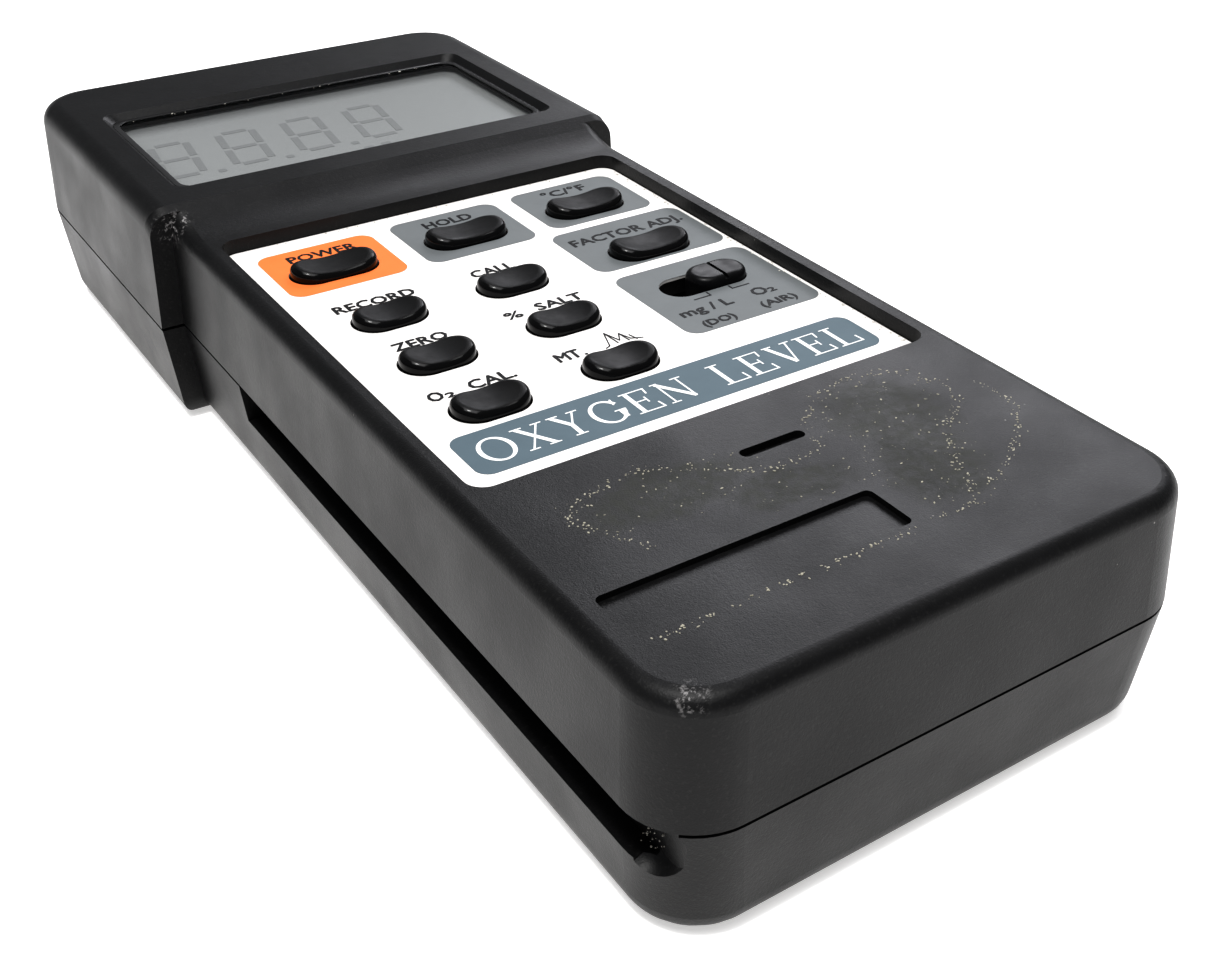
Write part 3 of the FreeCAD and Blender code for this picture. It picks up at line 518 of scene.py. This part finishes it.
def finish_cad_parts():
    case = moulded_case("moulded_case", adhesive_and_highlights=True)
    back = moulded_case("moulded_back")
    black = plain_black("moulded_black")
    steel = metal("zinc_steel", (0.52, 0.52, 0.51), 0.34)
    nickel = metal("nickel_plate", (0.36, 0.35, 0.33), 0.30)
    finishes = {
        "front_cover": case,
        "back_cover": back,
        "battery_cover": back,
        "label_panel": label_film(),
        "display_window": clear_window(),
        "display_glass": display_cell(),
        "display_frame": black,
        "display_contacts": soft_rubber("contact_rubber", (0.36, 0.24, 0.28)),
        "main_board": board_laminate(),
        "processor_chip": plain_black("chip_epoxy", 0.6),
        "key_mat": soft_rubber("mat_rubber", (0.09, 0.09, 0.09)),
        "mode_switch_body": steel,
        "mode_switch_knob": knob_black(),
        "case_screws": steel,
        "board_screws": steel,
        "battery": battery_can(),
        "battery_snap": black,
        "battery_cover_screw": steel,
        "probe_socket_shell": nickel,
        "probe_socket_insert": black,
        "probe_socket_nut": nickel,
        "data_jack": black,
    }
    finishes["board_components"] = finishes["processor_chip"]
    gloss = key_gloss()
    for node in KEY_NODES:
        finishes[node] = gloss
    for node, material in finishes.items():
        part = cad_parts[node]
        part.data.materials.clear()
        part.data.materials.append(material)


# Printed patches on the label

KEY_FLANGE = 0.65 * MM
SWITCH_HALF_X, SWITCH_HALF_Y = 6.4 * MM, 2.85 * MM


def add_opening(bm, node):
    """Adds the shape of the hole for a key, or for the switch's knob, to a cutter."""
    low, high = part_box(node)
    if node in KEY_NODES:
        x0, x1, y0, y1 = low.x + KEY_FLANGE, high.x - KEY_FLANGE, low.y + KEY_FLANGE, high.y - KEY_FLANGE
        half_y = (high.y - low.y) / 2 - KEY_FLANGE
    else:
        x, y = (low.x + high.x) / 2, (low.y + high.y) / 2
        x0, x1, y0, y1 = x - SWITCH_HALF_X, x + SWITCH_HALF_X, y - SWITCH_HALF_Y, y + SWITCH_HALF_Y
        half_y = SWITCH_HALF_Y
    nearly_round = half_y * 0.999
    add_block(bm, x0, x1, y0, y1, LABEL_TOP - 1 * MM, LABEL_TOP + 1 * MM, nearly_round, 12)


# Name, left, right, near and far edge and corner radius in millimetres, the ink,
# and what stands in the patch.
PATCHES = (
    ("power_patch", -27.1, -10.7, 5.1, 19.15, 2.0, "orange", "power_key"),
    ("hold_patch", -7.8, 8.65, 4.95, 19.6, 2.0, "grey", "hold_key"),
    ("units_patch", 11.4, 28.2, 5.85, 19.8, 2.0, "grey", "units_key"),
    ("factor_patch", 9.2, 29.9, -9.9, 4.1, 2.0, "grey", "factor_key"),
    ("mode_patch", 9.15, 29.85, -31.0, -12.2, 2.0, "grey", "mode_switch_body"),
    ("title_band", -27.3, 27.9, -45.1, -36.4, 1.8, "slate", None),
)


def printed_patches():
    """The coloured areas, each with an opening for the key or knob that stands in it."""
    inks = {
        "orange": printed_ink("orange_ink", (0.85, 0.20, 0.05)),
        "grey": printed_ink("grey_ink", (0.143, 0.154, 0.159)),
        "slate": printed_ink("slate_ink", (0.090, 0.127, 0.151)),
    }
    for name, x0, x1, y0, y1, radius, ink, node in PATCHES:
        bm = bmesh.new()
        z0, z1 = PATCH_Z, PATCH_Z + PRINT_THICKNESS
        add_block(bm, x0 * MM, x1 * MM, y0 * MM, y1 * MM, z0, z1, radius * MM, 8)
        patch = piece_from(bm, name, inks[ink])
        if node:
            cutter = bmesh.new()
            add_opening(cutter, node)
            cut_away(patch, cutter)


# Printed legends

# The letters are printed bold: each is laid down again at small shifts, in millimetres.
BOLD_SHIFTS = ((-0.08, -0.03), (0.0, -0.06), (0.08, 0.0), (0.0, 0.06), (0.0, 0.0))

# The plain type's capitals, as a share of its size, and half the depth that its letters are made with.
CAPITAL_SHARE = 0.729
LETTER_HALF_DEPTH = 0.001


def legend(name, words, left, right, baseline, height, material):
    """Words on the label between two X places, on a baseline, with capitals of a given height."""
    curve = bpy.data.curves.new(name, "FONT")
    curve.body = words
    curve.size = 1.0
    curve.extrude = LETTER_HALF_DEPTH
    curve.resolution_u = 2
    text = bpy.data.objects.new(name, curve)
    bpy.context.scene.collection.objects.link(text)
    bpy.context.view_layer.update()
    mesh = bpy.data.meshes.new_from_object(text.evaluated_get(bpy.context.evaluated_depsgraph_get()))
    bpy.data.objects.remove(text)
    xs = [v.co.x for v in mesh.vertices]
    wide = (right - left) * MM / (max(xs) - min(xs))
    tall = height * MM / CAPITAL_SHARE
    deep = PRINT_THICKNESS / (2 * LETTER_HALF_DEPTH)
    corner = Vector((left * MM - min(xs) * wide, baseline * MM, LETTER_Z + PRINT_THICKNESS / 2))
    mesh.transform(Matrix.Translation(corner) @ Matrix.Diagonal(Vector((wide, tall, deep))).to_4x4())
    bm = bmesh.new()
    for step, (x, y) in enumerate(BOLD_SHIFTS):
        before = len(bm.verts)
        bm.from_mesh(mesh)
        bm.verts.ensure_lookup_table()
        bmesh.ops.translate(bm, verts=bm.verts[before:], vec=(x * MM, y * MM, 0.001 * MM * step))
    bpy.data.meshes.remove(mesh)
    return piece_from(bm, name, material)


# Name, words, left, right, baseline and height of the capitals, in millimetres.
LEGENDS = (
    ("power_legend", "POWER", -23.35, -13.8, 15.35, 2.1),
    ("hold_legend", "HOLD", -3.2, 4.0, 15.8, 2.1),
    ("units_legend", "°C/°F", 16.1, 23.1, 16.3, 2.1),
    ("factor_legend", "FACTOR ADJ.", 10.8, 28.5, -0.75, 2.15),
    ("record_legend", "RECORD", -24.35, -13.5, -1.85, 2.1),
    ("recall_legend", "CALL", -5.15, 0.95, -1.85, 2.1),
    ("zero_legend", "ZERO", -22.5, -15.5, -14.85, 2.0),
    ("percent_legend", "%", -7.35, -5.15, -14.9, 1.9),
    ("salt_legend", "SALT", -2.8, 3.8, -14.65, 2.0),
    ("oxygen_legend", "O", -24.5, -22.75, -28.1, 2.1),
    ("oxygen_index", "2", -22.5, -21.4, -28.15, 1.1),
    ("calibrate_legend", "CAL.", -19.3, -13.45, -27.95, 2.1),
    ("metres_legend", "MT", -7.65, -4.5, -27.95, 2.1),
    ("water_units_legend", "mg / L", 11.15, 18.85, -26.4, 1.95),
    ("water_name_legend", "(DO)", 12.05, 16.8, -29.9, 1.55),
    ("air_symbol_legend", "O", 22.4, 24.55, -26.35, 2.1),
    ("air_index_legend", "2", 24.7, 25.7, -26.35, 1.1),
    ("air_name_legend", "(AIR)", 21.3, 26.7, -29.5, 1.55),
)


def drawn_lines(name, paths, width, material):
    """Thin printed lines along lists of points, in millimetres."""
    bm = bmesh.new()
    for path in paths:
        for a, b in zip(path, path[1:]):
            start, end = Vector((a[0] * MM, a[1] * MM, 0)), Vector((b[0] * MM, b[1] * MM, 0))
            reach = (end - start).normalized() * width * MM / 3
            add_stroke(bm, start - reach, end + reach, width * MM, LETTER_Z, LETTER_Z + PRINT_THICKNESS)
    return piece_from(bm, name, material)


# The switch's two marks, and the ridge of the altitude sign with its folds.
MODE_MARKS = (
    ((17.6, -22.0), (17.6, -22.95), (15.1, -22.95)),
    ((21.1, -22.0), (21.1, -22.85), (23.7, -22.85)),
)
ALTITUDE_MARK = (
    ((-1.3, -27.9), (-0.6, -27.6), (0.5, -24.4), (1.2, -27.0), (2.0, -25.4), (2.6, -27.3), (4.0, -27.9)),
    ((0.5, -24.4), (0.7, -27.4)),
    ((2.0, -25.4), (2.2, -27.6)),
    ((2.9, -26.4), (3.2, -27.8)),
)
METRES_STOP = (((-4.1, -27.75), (-3.9, -27.75)),)


def printed_legends():
    black = printed_ink("black_ink", (0.008, 0.008, 0.009))
    for name, words, left, right, baseline, height in LEGENDS:
        legend(name, words, left, right, baseline, height, black)
    drawn_lines("mode_marks", MODE_MARKS, 0.22, black)
    drawn_lines("altitude_mark", ALTITUDE_MARK, 0.17, black)
    drawn_lines("metres_stop", METRES_STOP, 0.3, black)


# The title band's serif capitals, drawn from thick and thin strokes.
# Each letter is its width and its strokes: from, to and thickness, in units of the capitals' height.
THICK, THIN, SERIF = 0.115, 0.045, 0.04
LETTERS = {
    "X": (0.92, (
        ((0.14, 0.98), (0.78, 0.02), THICK), ((0.12, 0.02), (0.78, 0.98), THIN),
        ((0.0, 0.98), (0.34, 0.98), SERIF), ((0.60, 0.98), (0.92, 0.98), SERIF),
        ((0.0, 0.02), (0.30, 0.02), SERIF), ((0.58, 0.02), (0.92, 0.02), SERIF),
    )),
    "Y": (0.92, (
        ((0.12, 0.98), (0.46, 0.46), THICK), ((0.78, 0.98), (0.47, 0.46), THIN),
        ((0.46, 0.50), (0.46, 0.02), THICK), ((0.0, 0.98), (0.34, 0.98), SERIF),
        ((0.60, 0.98), (0.92, 0.98), SERIF), ((0.28, 0.02), (0.64, 0.02), SERIF),
    )),
    "E": (0.84, (
        ((0.18, 0.98), (0.18, 0.02), THICK), ((0.0, 0.98), (0.76, 0.98), SERIF),
        ((0.0, 0.02), (0.80, 0.02), SERIF), ((0.18, 0.51), (0.56, 0.51), SERIF),
        ((0.76, 1.0), (0.72, 0.74), THIN), ((0.80, 0.0), (0.76, 0.28), THIN),
        ((0.56, 0.64), (0.56, 0.38), SERIF),
    )),
    "N": (0.98, (
        ((0.16, 0.98), (0.16, 0.02), THIN), ((0.14, 0.96), (0.82, 0.04), THICK),
        ((0.82, 0.98), (0.82, 0.02), THIN), ((0.0, 0.98), (0.22, 0.98), SERIF),
        ((0.66, 0.98), (0.98, 0.98), SERIF), ((0.02, 0.02), (0.32, 0.02), SERIF),
    )),
    "L": (0.80, (
        ((0.18, 0.98), (0.18, 0.02), THICK), ((0.0, 0.98), (0.38, 0.98), SERIF),
        ((0.0, 0.02), (0.76, 0.02), SERIF), ((0.77, 0.0), (0.73, 0.32), THIN),
    )),
    "V": (0.92, (
        ((0.12, 0.98), (0.47, 0.03), THICK), ((0.80, 0.98), (0.48, 0.03), THIN),
        ((0.0, 0.98), (0.32, 0.98), SERIF), ((0.62, 0.98), (0.94, 0.98), SERIF),
    )),
    "O": (1.0, ()),
    "G": (1.0, (
        ((0.84, 0.44), (0.84, 0.10), THICK), ((0.66, 0.44), (1.0, 0.44), SERIF),
        ((0.86, 0.96), (0.82, 0.70), THIN),
    )),
    " ": (0.55, ()),
}


def add_bowl(bm, x, y, width, height, z0, z1, opening=None):
    """Adds a round letter's ring, thick at its sides and thin above and below."""
    outer = (width / 2, height / 2 + 0.02 * height)
    inner = (width / 2 - THICK * height, height * 0.455)
    place = Matrix.Translation(Vector((x + width / 2, y + height / 2, z0)))
    rings = []
    for half_x, half_y in (outer, inner):
        size = Matrix.Diagonal(Vector((half_x, half_y, 1.0))).to_4x4()
        made = bmesh.ops.create_circle(bm, cap_ends=False, segments=48, radius=1.0, matrix=place @ size)
        rings.append(made["verts"])
    edges = [e for ring in rings for v in ring for e in v.link_edges]
    faces = bmesh.ops.bridge_loops(bm, edges=list(set(edges)))["faces"]
    if opening:
        gone = [f for f in faces if opening(f.calc_center_median())]
        bmesh.ops.delete(bm, geom=gone, context="FACES")
        faces = [f for f in faces if f.is_valid]
    raised = bmesh.ops.extrude_face_region(bm, geom=faces)["geom"]
    verts = [g for g in raised if isinstance(g, bmesh.types.BMVert)]
    bmesh.ops.translate(bm, verts=verts, vec=(0, 0, z1 - z0))


TITLE = "OXYGEN LEVEL"
TITLE_LEFT, TITLE_RIGHT, TITLE_BASELINE, TITLE_HEIGHT = -25.4, 26.1, -43.35, 4.9
TITLE_SPACING = 0.15


def title():
    """The quantity that the meter reads, in white serif capitals on the band."""
    z0, z1 = LETTER_Z, LETTER_Z + PRINT_THICKNESS
    total = sum(LETTERS[c][0] + TITLE_SPACING for c in TITLE) - TITLE_SPACING
    stretch = (TITLE_RIGHT - TITLE_LEFT) / (total * TITLE_HEIGHT)
    wide, tall = TITLE_HEIGHT * stretch, TITLE_HEIGHT
    bm = bmesh.new()
    x, y = TITLE_LEFT, TITLE_BASELINE
    for letter in TITLE:
        share, strokes = LETTERS[letter]
        for (xa, ya), (xb, yb), thickness in strokes:
            start = Vector(((x + xa * wide) * MM, (y + ya * tall) * MM, 0))
            end = Vector(((x + xb * wide) * MM, (y + yb * tall) * MM, 0))
            add_stroke(bm, start, end, thickness * tall * MM, z0, z1)
        if letter in "OG":
            left, low, width, height = x * MM, y * MM, share * wide * MM, tall * MM

            def in_gap(place):
                across = (place.x - left) / width - 0.5
                up = (place.y - low) / height - 0.5
                return across > 0.30 and -0.08 < up < 0.27

            add_bowl(bm, left, low, width, height, z0, z1, in_gap if letter == "G" else None)
        x += (share + TITLE_SPACING) * wide
    return piece_from(bm, "title_letters", printed_ink("white_ink", (0.86, 0.87, 0.87)))


# Display details

def digit_segments(bm, x, y, z0, z1):
    """Adds the seven bars of one digit, leaning right."""
    half_w, half_h, lean, width, gap = 2.7, 6.9, 0.13, 1.15, 0.25
    across = half_w - gap - width / 2
    end = gap + width / 4

    def spot(u, v):
        return Vector(((x + u + lean * v) * MM, (y + v) * MM, 0))

    for v in (-half_h, 0.0, half_h):
        add_stroke(bm, spot(-across, v), spot(across, v), width * MM, z0, z1)
    for u in (-half_w, half_w):
        for low, high in ((-half_h, 0.0), (0.0, half_h)):
            add_stroke(bm, spot(u, low + end), spot(u, high - end), width * MM, z0, z1)


# The digits' first middle, pitch and row, and the small flags below them, in millimetres.
DIGITS = 4
FIRST_DIGIT_X, DIGIT_PITCH, DIGIT_ROW_Y = -24.7, 10.5, 55.3
FLAGS = ((-6.9, 43.4), (-4.6, 43.6), (1.5, 44.6), (4.4, 44.8))
SEGMENT_THICKNESS = 0.02 * MM


def display_digits():
    """The unlit segments: four digits, their points and the small flags below them."""
    bm = bmesh.new()
    z0 = GLASS_HIGH.z + 0.02 * MM
    z1 = z0 + SEGMENT_THICKNESS
    for i in range(DIGITS):
        x = FIRST_DIGIT_X + DIGIT_PITCH * i
        digit_segments(bm, x, DIGIT_ROW_Y, z0, z1)
        if i < DIGITS - 1:
            add_block(bm, (x + 3.6) * MM, (x + 4.8) * MM, 46.9 * MM, 48.1 * MM, z0, z1, 0.3 * MM, 3)
    for x, y in FLAGS:
        add_block(bm, (x - 0.8) * MM, (x + 0.8) * MM, (y - 0.5) * MM, (y + 0.5) * MM, z0, z1, 0.3 * MM, 3)
    return piece_from(bm, "display_segments", ghost_segment())


def window_gap_shade():
    """Painted shade of the gap between bezel and window: a thin black border round the window, which shows as
    a dark gap inside the bezel.
    """
    inset, overlap, border = 1.45 * MM, 0.05 * MM, 0.8 * MM
    x1, y0, y1 = WINDOW_HIGH.x - inset, WINDOW_LOW.y + inset, WINDOW_HIGH.y - inset
    z0 = WINDOW_HIGH.z + 0.01 * MM
    z1 = z0 + 0.18 * MM
    bm = bmesh.new()
    add_block(bm, -x1 - overlap, x1 + overlap, y0 - overlap, y1 + overlap, z0, z1, 3.0 * MM, 8)
    # The black of this ring is painted shade, standing for the shaded gap.
    shade_ring = piece_from(bm, "window_gap_shade", plain_black("gap_shade_black", 0.25))
    cutter = bmesh.new()
    add_block(
        cutter, -x1 + border, x1 - border, y0 + border, y1 - border,
        z0 - 1 * MM, z0 + 1 * MM, 2.4 * MM, 8,
    )
    cut_away(shade_ring, cutter)
    bevel = shade_ring.modifiers.new("edge", "BEVEL")
    bevel.width = 0.06 * MM
    bevel.segments = 2
    bevel.limit_method = "ANGLE"
    baked(shade_ring)
    return shade_ring


# Dust and crumbs

def flecks(name, material, spots, size, seed):
    """Small irregular grains at a list of places, each pressed a little into its surface."""
    chance = random.Random(seed)
    bm = bmesh.new()
    for spot in spots:
        grain = size * chance.uniform(0.45, 1.3) * MM
        turn = Matrix.Rotation(chance.uniform(0, math.pi), 4, "Z")
        shape = Matrix.Diagonal(Vector((
            grain * chance.uniform(0.6, 1.7),
            grain * chance.uniform(0.5, 1.1),
            grain * chance.uniform(0.3, 0.6),
        ))).to_4x4()
        place = Matrix.Translation(spot) @ turn @ shape
        bmesh.ops.create_icosphere(bm, subdivisions=1, radius=0.5, matrix=place)
    return piece_from(bm, name, material, smooth_angle=20.0)


# Crumbs for each millimetre of ragged edge, and for each square millimetre of a patch's half sizes.
CRUMBS_ALONG, CRUMBS_ACROSS = 3.2, 0.55


def adhesive_crumbs():
    """Crumbs of dried adhesive: chains of them along the ragged edges, and a few across the film."""
    chance = random.Random(11)
    places = []
    for edge in ADHESIVE_EDGES:
        for a, b in zip(edge, edge[1:]):
            a, b = Vector(a), Vector(b)
            for _ in range(int((b - a).length * CRUMBS_ALONG)):
                spread = Vector((chance.gauss(0, 0.35), chance.gauss(0, 0.35)))
                places.append(a.lerp(b, chance.random()) + spread)
    for x, y, half_x, half_y, angle in ADHESIVE_PATCHES:
        turn = Matrix.Rotation(math.radians(angle), 2)
        for _ in range(int(CRUMBS_ACROSS * half_x * half_y)):
            way, reach = chance.uniform(0, 2 * math.pi), math.sqrt(chance.random())
            offset = Vector((half_x * reach * math.cos(way), half_y * reach * math.sin(way)))
            places.append(Vector((x, y)) + turn @ offset)
    kept = [p for p in places if p.y < -51.5 and abs(p.x) < 30.0 and not in_pocket(p)]
    spots = [Vector((p.x * MM, p.y * MM, FACE + 0.01 * MM)) for p in kept]
    return flecks("adhesive_crumbs", crumb_fleck(), spots, 0.24, 5)


def in_pocket(place):
    """True over the shallow pocket and the short slot, where crumbs would hang in the air."""
    pocket = -30.6 < place.x < 3.3 and -78.9 < place.y < -70.8
    slot = abs(place.y + 58.9) < 1.2 and abs(place.x) < 4.7
    return pocket or slot


def recess_dust():
    """Lint in the label's recess, in the window's gap and in the near end of the left slot."""
    chance = random.Random(23)
    spots = []
    side = LABEL_HIGH.x - 0.15 * MM
    lift = 0.05 * MM
    floor = LABEL_TOP + lift
    for _ in range(70):
        y = chance.uniform(LABEL_LOW.y + 2 * MM, LABEL_HIGH.y - 2 * MM)
        spots.append(Vector((side - abs(chance.gauss(0, 0.35)) * MM, y, floor)))
    for _ in range(26):
        x = chance.uniform(LABEL_LOW.x + 3 * MM, LABEL_HIGH.x - 3 * MM)
        spots.append(Vector((x, LABEL_HIGH.y - (0.2 + abs(chance.gauss(0, 0.3))) * MM, floor)))
    for _ in range(16):
        x = chance.uniform(-27 * MM, 27 * MM)
        y = WINDOW_HIGH.y - (2.2 + chance.uniform(0, 0.6)) * MM
        spots.append(Vector((x, y, WINDOW_HIGH.z + 2 * lift)))
    flecks("lint", dust_fleck(), spots, 0.24, 7)
    slot_spots = []
    for _ in range(24):
        x = -31.4 * MM - chance.uniform(0.0, 0.5) * MM
        y = chance.uniform(-85.5, -82.0) * MM
        slot_spots.append(Vector((x, y, SEAM - chance.uniform(2.0, 5.4) * MM)))
    flecks("slot_lint", dust_fleck(), slot_spots, 0.22, 9)


# Contacts in the sockets

PINS = 5
PIN_CIRCLE_RADIUS, PIN_RADIUS = 2.9 * MM, 0.45 * MM
SLEEVE_OUTSIDE, SLEEVE_INSIDE = 1.79 * MM, 1.55 * MM


def socket_contacts():
    """Five brass pins deep in the probe socket's insulator, and the jack's sleeve contact."""
    brass = metal("contact_brass", (0.78, 0.57, 0.26), 0.22)
    low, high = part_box("probe_socket_insert")
    centre = (low + high) / 2
    bm = bmesh.new()
    for i in range(PINS):
        angle = math.radians(90 + (i - 2) * 60)
        x = centre.x + PIN_CIRCLE_RADIUS * math.cos(angle)
        z = centre.z - PIN_CIRCLE_RADIUS * math.sin(angle)
        add_rod(bm, PIN_RADIUS, (x, high.y - 5.9 * MM, z), (x, high.y - 0.8 * MM, z), 16)
    pins = piece_from(bm, "socket_pins", brass)
    low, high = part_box("data_jack")
    x, z = (low.x + high.x) / 2, (low.z + high.z) / 2
    outer = bmesh.new()
    add_rod(outer, SLEEVE_OUTSIDE, (x, high.y - 9.0 * MM, z), (x, high.y - 1.2 * MM, z), 40)
    sleeve = piece_from(outer, "jack_sleeve", brass)
    cutter = bmesh.new()
    add_rod(cutter, SLEEVE_INSIDE, (x, high.y - 9.5 * MM, z), (x, high.y, z), 40)
    cut_away(sleeve, cutter)


# Table, light and camera

def table():
    bm = bmesh.new()
    bmesh.ops.create_grid(bm, x_segments=8, y_segments=8, size=2.5)
    mesh = bpy.data.meshes.new("tabletop")
    bm.to_mesh(mesh)
    bm.free()
    mesh.materials.append(tabletop())
    top = bpy.data.objects.new("tabletop", mesh)
    bpy.context.scene.collection.objects.link(top)


def soft_light(name, direction, distance, width, depth, power, colour=(1.0, 1.0, 1.0)):
    """A rectangular softbox at a distance in a direction, facing the meter."""
    lamp = bpy.data.lights.new(name, "AREA")
    lamp.shape = "RECTANGLE"
    lamp.size = width
    lamp.size_y = depth
    lamp.energy = power
    lamp.color = colour
    light = bpy.data.objects.new(name, lamp)
    way = Vector(direction).normalized()
    light.location = way * distance
    light.rotation_euler = way.to_track_quat("Z", "Y").to_euler()
    bpy.context.scene.collection.objects.link(light)


def lights():
    world = bpy.data.worlds.new("studio")
    world.use_nodes = True
    world.node_tree.nodes["Background"].inputs["Color"].default_value = (0.95, 0.97, 1.0, 1.0)
    world.node_tree.nodes["Background"].inputs["Strength"].default_value = 0.20
    bpy.context.scene.world = world
    soft_light("far_window", (0.635, 0.533, 0.559), 1.6, 1.0, 0.64, 11.0, (0.95, 0.95, 1.0))
    soft_light("overhead", (-0.15, -0.15, 1.0), 1.5, 1.1, 1.1, 17.0)
    soft_light("ceiling_lamp", (-0.25, -0.15, 0.95), 1.5, 0.2, 0.2, 9.0, (1.0, 0.985, 0.97))


def camera():
    lens = bpy.data.cameras.new("camera")
    lens.sensor_width = 36.0
    lens.lens = 46.41
    lens.shift_x = -0.0674
    lens.shift_y = -0.0720
    lens.clip_start = 0.005
    lens.dof.use_dof = False
    eye = bpy.data.objects.new("camera", lens)
    eye.location = (-0.08903, -0.17029, 0.11643)
    eye.rotation_euler = [math.radians(a) for a in (60.499, -0.683, -34.856)]
    bpy.context.scene.collection.objects.link(eye)
    bpy.context.scene.camera = eye


finish_cad_parts()
printed_patches()
printed_legends()
title()
display_digits()
window_gap_shade()
adhesive_crumbs()
recess_dust()
socket_contacts()
table()
lights()
camera()
bpy.context.scene.view_settings.view_transform = "Standard"
bpy.context.scene.view_settings.look = "Medium High Contrast"
